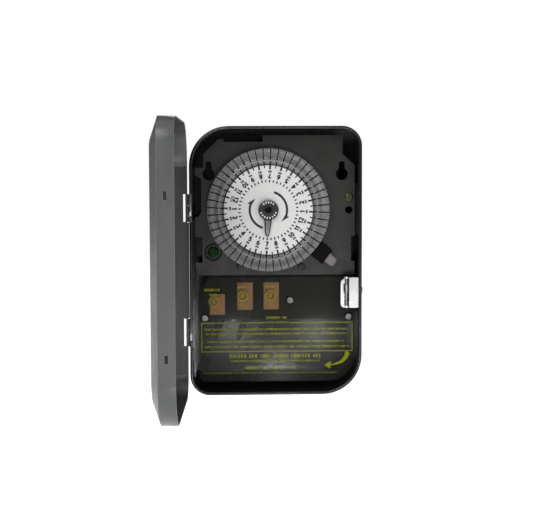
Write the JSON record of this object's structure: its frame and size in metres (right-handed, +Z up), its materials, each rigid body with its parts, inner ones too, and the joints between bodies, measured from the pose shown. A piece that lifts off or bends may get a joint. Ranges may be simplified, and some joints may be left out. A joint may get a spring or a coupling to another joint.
{
  "type": "mechanical dial time switch",
  "caption": "Wall-mounted 24 hour mechanical dial time switch in a hinged steel case, with captive trippers, a fixed pointer, an override lever and a clear terminal insulator.",
  "frame": {"origin": "centre of the case's back face, on the wall plane", "axes": "+Z up, +X to the right as seen from the front, +Y into the wall; the case and its open door stand out along -Y"},
  "size_m": [0.1637, 0.1948, 0.2194],
  "materials": {
    "case_paint": "semi-gloss powder coat, dark grey",
    "door_paint": "satin powder coat, mid grey",
    "zinc": "bright zinc plate",
    "yellow_zinc": "yellow passivated zinc plate",
    "spring_steel": "bright spring steel",
    "plate_plastic": "satin moulded, near black",
    "housing_plastic": "fine matt moulded black",
    "block_plastic": "matt moulded black thermoset",
    "gear_plastic": "natural acetal",
    "smoke_plastic": "translucent smoke",
    "clear_plastic": "clear polycarbonate, glossy",
    "clear_tip": "clear moulded",
    "lever_plastic": "semi-gloss black",
    "disc_white": "satin white, printed",
    "pointer_plastic": "glossy dark grey",
    "brass": "plain brass",
    "silver_contact": "silver alloy",
    "green_paint": "green dyed plating",
    "black_plating": "black oxide",
    "motor_can": "drawn zinc-plated can",
    "lead_sleeve": "black PVC lead insulation"
  },
  "bodies": {
    "enclosure": {"enclosure_box": "case_paint", "left_support_rail": "case_paint", "right_support_rail": "case_paint", "upper_hinge_box_leaf": "zinc", "lower_hinge_box_leaf": "zinc", "upper_hinge_pin": "zinc", "lower_hinge_pin": "zinc", "latch_bracket": "zinc", "latch_rivet": "zinc", "latch_pin": "zinc", "latch_spring": "spring_steel", "mechanism_plate": "plate_plastic", "gear_housing": "housing_plastic", "housing_screws": "black_plating", "plate_screw": "yellow_zinc", "ground_screw": "green_paint", "ground_strap": "zinc", "terminal_block": "block_plastic", "neutral_terminal": "brass", "line_terminal": "brass", "load_terminal": "brass", "terminal_screws": "brass", "fixed_contact": "silver_contact", "insulator": "clear_plastic", "insulator_screws": "zinc", "clock_motor": "motor_can", "motor_mount_screws": "zinc", "idler_axle": "spring_steel", "dial_arbor": "spring_steel", "pointer": "pointer_plastic", "pointer_screw": "black_plating", "detent_spring": "spring_steel", "motor_lead_line": "lead_sleeve", "motor_lead_neutral": "lead_sleeve"},
    "door": {"door_shell": "door_paint", "upper_hinge_door_leaf": "door_paint", "lower_hinge_door_leaf": "door_paint", "door_strike": "door_paint"},
    "latch": {"latch_pawl": "zinc"},
    "dial": {"tripper_carrier": "housing_plastic", "dial_gear": "gear_plastic", "dial_clutch_washer": "spring_steel", "dial_disc": "disc_white", "tripper_wire": "spring_steel", "trippers": "smoke_plastic"},
    "override": {"override_lever": "lever_plastic", "override_tip": "clear_tip", "switch_cam": "gear_plastic"},
    "contact_arm": {"contact_blade": "spring_steel", "moving_contact": "silver_contact"},
    "idler": {"idler_wheel": "gear_plastic", "idler_pinion": "gear_plastic"},
    "motor_output": {"motor_pinion": "gear_plastic"},
    "tripper_1": {"tripper_1": "smoke_plastic"},
    "tripper_2": {"tripper_2": "smoke_plastic"},
    "tripper_3": {"tripper_3": "smoke_plastic"},
    "tripper_4": {"tripper_4": "smoke_plastic"},
    "tripper_5": {"tripper_5": "smoke_plastic"},
    "tripper_6": {"tripper_6": "smoke_plastic"}
  },
  "joints": [
    {"name": "door_hinge", "type": "hinge", "parent": "enclosure", "child": "door", "pos_m": [-0.0686, -0.0555, 0], "axis": [0, 0, -1], "range_deg": [-91.8, 5.2]},
    {"name": "latch_pivot", "type": "hinge", "parent": "enclosure", "child": "latch", "pos_m": [0.0573, -0.0536, -0.0258], "axis": [0, 0, -1], "range_deg": [0, 20], "stiffness_Nm_per_rad": 0.01, "springref_deg": -5.73},
    {"name": "dial_turn", "type": "hinge", "parent": "enclosure", "child": "dial", "pos_m": [-0.0056, -0.0506, 0.0408], "axis": [0, -1, 0], "continuous": true},
    {"name": "override_pivot", "type": "hinge", "parent": "enclosure", "child": "override", "pos_m": [0.02238, -0.0385, 0.01814], "axis": [0, -1, 0], "range_deg": [-9, 9]},
    {"name": "contact_flex", "type": "hinge", "parent": "enclosure", "child": "contact_arm", "pos_m": [-0.001, -0.0315, 0.0049], "axis": [0, -1, 0], "range_deg": [-1.3, 1.3]},
    {"name": "idler_turn", "type": "hinge", "parent": "enclosure", "child": "idler", "pos_m": [-0.0224, -0.022, 0.0699], "axis": [0, -1, 0], "continuous": true},
    {"name": "motor_turn", "type": "hinge", "parent": "enclosure", "child": "motor_output", "pos_m": [-0.00361, -0.022, 0.06306], "axis": [0, -1, 0], "continuous": true},
    {"name": "tripper_1_rock", "type": "hinge", "parent": "dial", "child": "tripper_1", "pos_m": [-0.00473, -0.0471, 0.00081], "axis": [0.9998, 0, 0.0218], "range_deg": [0, 8]},
    {"name": "tripper_2_rock", "type": "hinge", "parent": "dial", "child": "tripper_2", "pos_m": [0.02947, -0.0471, 0.02156], "axis": [0.481, 0, 0.8767], "range_deg": [0, 8]},
    {"name": "tripper_3_rock", "type": "hinge", "parent": "dial", "child": "tripper_3", "pos_m": [0.0286, -0.0471, 0.06155], "axis": [-0.5188, 0, 0.8549], "range_deg": [0, 8]},
    {"name": "tripper_4_rock", "type": "hinge", "parent": "dial", "child": "tripper_4", "pos_m": [-0.00647, -0.0471, 0.08079], "axis": [-0.9998, 0, -0.0218], "range_deg": [0, 8]},
    {"name": "tripper_5_rock", "type": "hinge", "parent": "dial", "child": "tripper_5", "pos_m": [-0.04067, -0.0471, 0.06004], "axis": [-0.481, 0, -0.8767], "range_deg": [0, 8]},
    {"name": "tripper_6_rock", "type": "hinge", "parent": "dial", "child": "tripper_6", "pos_m": [-0.0398, -0.0471, 0.02005], "axis": [0.5188, 0, -0.8549], "range_deg": [0, 8]}
  ],
  "couplings": [
    {"joint": "contact_flex", "follows": "override_pivot", "ratio": -0.125},
    {"joint": "idler_turn", "follows": "dial_turn", "ratio": -6},
    {"joint": "motor_turn", "follows": "dial_turn", "ratio": 24}
  ]
}
